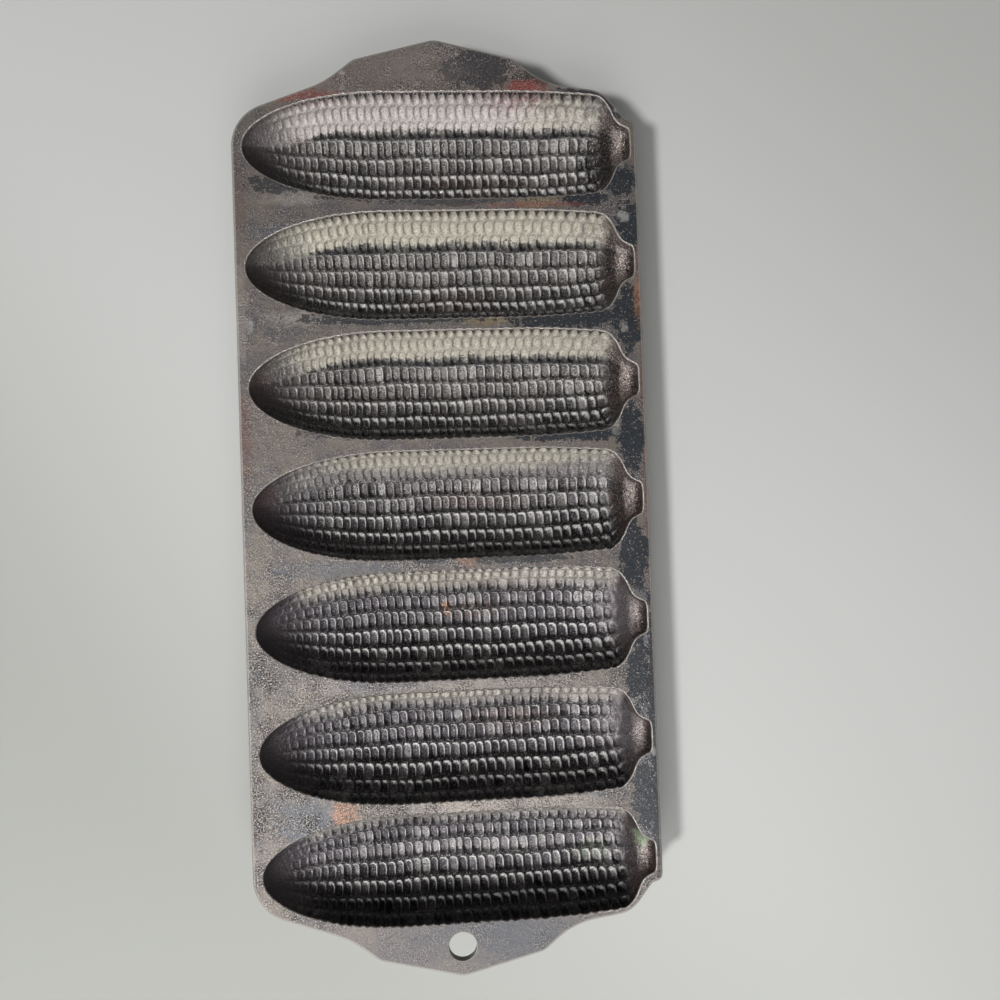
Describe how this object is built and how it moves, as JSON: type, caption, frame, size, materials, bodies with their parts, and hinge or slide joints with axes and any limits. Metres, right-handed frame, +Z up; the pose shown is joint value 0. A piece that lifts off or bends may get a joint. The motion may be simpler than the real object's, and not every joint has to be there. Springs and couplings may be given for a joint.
{
  "type": "cast iron corn stick pan",
  "caption": "Flat cast iron baking pan with a row of ear-of-corn shaped moulds pressed with kernels, and a pointed handle tab at each end, one with a hang hole.",
  "frame": {"origin": "middle of the pan's length and width, on the surface that the cob cups rest on", "axes": "+X across the pan along the ears, from their tips to their stems; +Y along the pan, from the tab with the hang hole to the plain tab; +Z up, out of the moulds"},
  "size_m": [0.1464, 0.337, 0.022],
  "materials": {
    "worn_deck_iron": "ground flat, worn brown-grey, with patches of dark seasoning and fine speckle",
    "seasoned_mould_iron": "dark seasoned iron with a light sheen, kernels cast in relief"
  },
  "bodies": {
    "root": {"deck_plate": "worn_deck_iron", "handle_tab_plain": "worn_deck_iron", "handle_tab_hang_hole": "worn_deck_iron", "cob_cup_1": "seasoned_mould_iron", "cob_cup_2": "seasoned_mould_iron", "cob_cup_3": "seasoned_mould_iron", "cob_cup_4": "seasoned_mould_iron", "cob_cup_5": "seasoned_mould_iron", "cob_cup_6": "seasoned_mould_iron", "cob_cup_7": "seasoned_mould_iron"}
  },
  "joints": []
}
